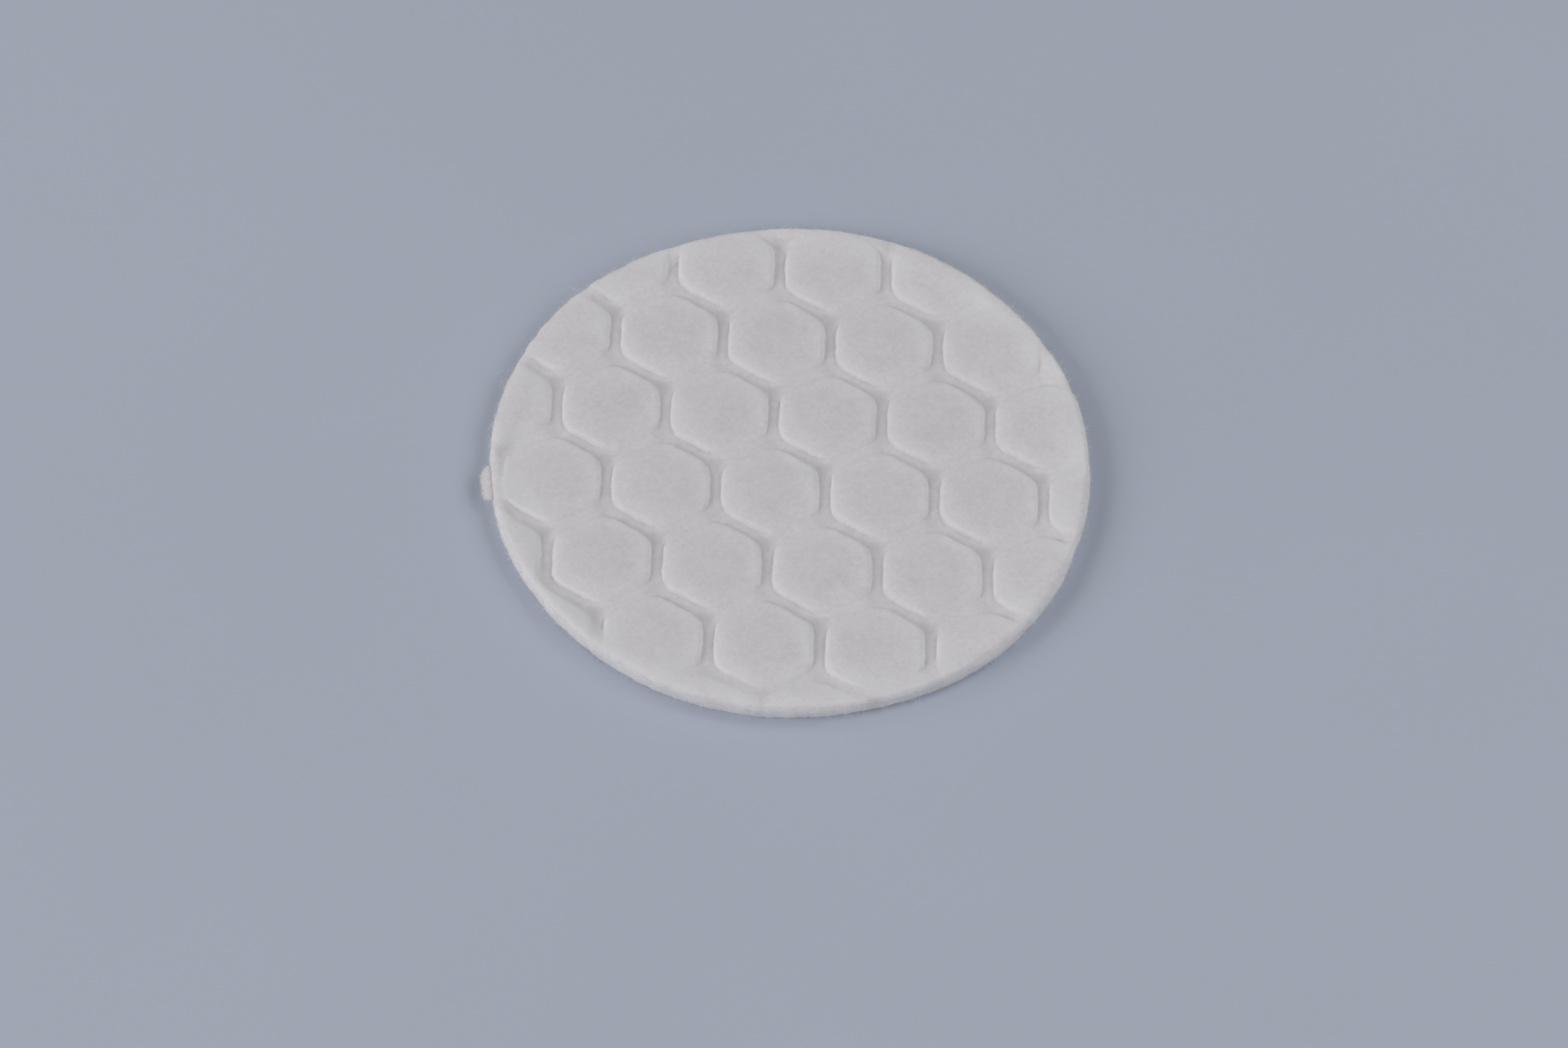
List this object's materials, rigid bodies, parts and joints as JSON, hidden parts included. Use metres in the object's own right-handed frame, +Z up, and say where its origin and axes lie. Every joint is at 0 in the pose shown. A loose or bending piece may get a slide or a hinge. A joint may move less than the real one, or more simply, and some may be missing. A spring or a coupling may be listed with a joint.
{
  "type": "cotton pad",
  "caption": "Thin round pad of pressed white cotton, its two faces embossed with a honeycomb of soft rounded cells, for wiping and for applying liquids.",
  "frame": {"origin": "centre of the round outline, on the plane that the pad lies on", "axes": "+Z up through the pad's thickness, +Y away from the viewer, +X to the viewer's right; two sides of each honeycomb cell lie within a degree of Y"},
  "size_m": [0.057, 0.057, 0.002],
  "materials": {
    "bleached_cotton": "matt, fibrous, slightly translucent"
  },
  "bodies": {
    "root": {"cotton_pad": "bleached_cotton"}
  },
  "joints": []
}
